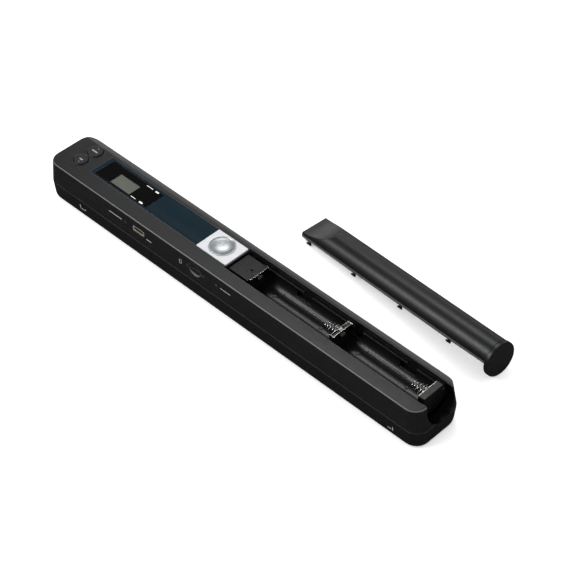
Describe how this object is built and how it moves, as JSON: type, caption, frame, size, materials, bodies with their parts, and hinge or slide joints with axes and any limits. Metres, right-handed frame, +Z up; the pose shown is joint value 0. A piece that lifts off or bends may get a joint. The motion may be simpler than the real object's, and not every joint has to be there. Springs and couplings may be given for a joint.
{
  "type": "handheld document scanner",
  "caption": "Long handheld page scanner with top display and scan button, underside rollers and sensor window, open battery bays and its half-round battery cover lying beside it.",
  "frame": {"origin": "middle of the flat underside, on the surface that the scanner lies on", "axes": "+X along the wand from the display end to the battery end, +Y from the socket side to the back side, +Z up through the scan button"},
  "size_m": [0.257, 0.0832, 0.0249],
  "materials": {
    "casing_top": "satin charcoal moulding",
    "casing_bottom": "fine matt black moulding",
    "tray_black": "glossy black moulding",
    "cover_black": "semi-gloss black moulding",
    "strip_navy": "semi-gloss navy inlay",
    "lens_black": "polished black lens",
    "display_grey": "reflective liquid crystal glass, off",
    "light_white": "frosted light pipe",
    "plate_silver": "bright satin",
    "button_silver": "polished",
    "contact_nickel": "nickel plated",
    "key_black": "fine matt",
    "dome_steel": "bright",
    "board_green": "solder resist on glass fibre laminate",
    "socket_steel": "bright tinned",
    "moulding_black": "matt",
    "screw_steel": "zinc plated",
    "sensor_glass": "clear float glass",
    "acrylic_clear": "clear acrylic",
    "ribbon_film": "polyester film over copper",
    "roller_rubber": "matt",
    "bush_white": "natural acetal"
  },
  "bodies": {
    "reader": {"upper_casing": "casing_top", "lower_casing": "casing_bottom", "battery_tray": "tray_black", "nub_contact": "contact_nickel", "link_contact": "contact_nickel", "spring_contact": "contact_nickel", "battery_spring_1": "contact_nickel", "battery_spring_2": "contact_nickel", "display_strip": "strip_navy", "display_lens": "lens_black", "display_glass": "display_grey", "status_light_1": "light_white", "status_light_2": "light_white", "key_plate": "plate_silver", "scan_snap_dome": "dome_steel", "mode_snap_dome": "dome_steel", "power_snap_dome": "dome_steel", "main_board": "board_green", "usb_shell": "socket_steel", "usb_tongue": "moulding_black", "card_socket": "socket_steel", "clock_set_switch": "moulding_black", "card_format_switch": "moulding_black", "casing_screw_1": "screw_steel", "casing_screw_2": "screw_steel", "casing_screw_3": "screw_steel", "casing_screw_4": "screw_steel", "board_screw_1": "screw_steel", "board_screw_2": "screw_steel", "board_screw_3": "screw_steel", "sensor_housing": "moulding_black", "sensor_glass": "sensor_glass", "rod_lens": "acrylic_clear", "light_guide": "acrylic_clear", "sensor_board": "board_green", "ribbon_socket_lower": "moulding_black", "ribbon_socket_upper": "moulding_black", "flat_cable": "ribbon_film", "bush_left": "bush_white", "bush_right": "bush_white", "encoder_sensor": "moulding_black"},
    "scan_key": {"scan_button": "button_silver"},
    "mode_key": {"mode_button": "key_black"},
    "power_key": {"power_button": "key_black"},
    "clock_key": {"clock_set_key": "light_white"},
    "format_key": {"card_format_key": "light_white"},
    "roller_train": {"roller_shaft": "screw_steel", "roller_left": "roller_rubber", "roller_right": "roller_rubber", "encoder_wheel": "moulding_black"},
    "cover": {"battery_cover": "cover_black"}
  },
  "joints": [
    {"name": "scan_press", "type": "slide", "parent": "reader", "child": "scan_key", "axis": [0, 0, -1], "range_m": [0, 0.0004], "stiffness_N_per_m": 900, "springref_m": -0.0004},
    {"name": "mode_press", "type": "slide", "parent": "reader", "child": "mode_key", "axis": [0, 0, -1], "range_m": [0, 0.0004], "stiffness_N_per_m": 700, "springref_m": -0.0004},
    {"name": "power_press", "type": "slide", "parent": "reader", "child": "power_key", "axis": [0, 0, -1], "range_m": [0, 0.0004], "stiffness_N_per_m": 700, "springref_m": -0.0004},
    {"name": "clock_set_press", "type": "slide", "parent": "reader", "child": "clock_key", "axis": [0, 1, 0], "range_m": [0, 0.0003], "stiffness_N_per_m": 500, "springref_m": -0.0003},
    {"name": "card_format_press", "type": "slide", "parent": "reader", "child": "format_key", "axis": [0, 1, 0], "range_m": [0, 0.0003], "stiffness_N_per_m": 500, "springref_m": -0.0003},
    {"name": "roller_turn", "type": "hinge", "parent": "reader", "child": "roller_train", "pos_m": [0, 0.0062, 0.0045], "axis": [1, 0, 0], "continuous": true},
    {"name": "cover_lift_over", "type": "slide", "parent": "reader", "child": "cover", "axis": [0.0785, -0.7504, 0.6563], "range_m": [0, 0.0701]}
  ]
}
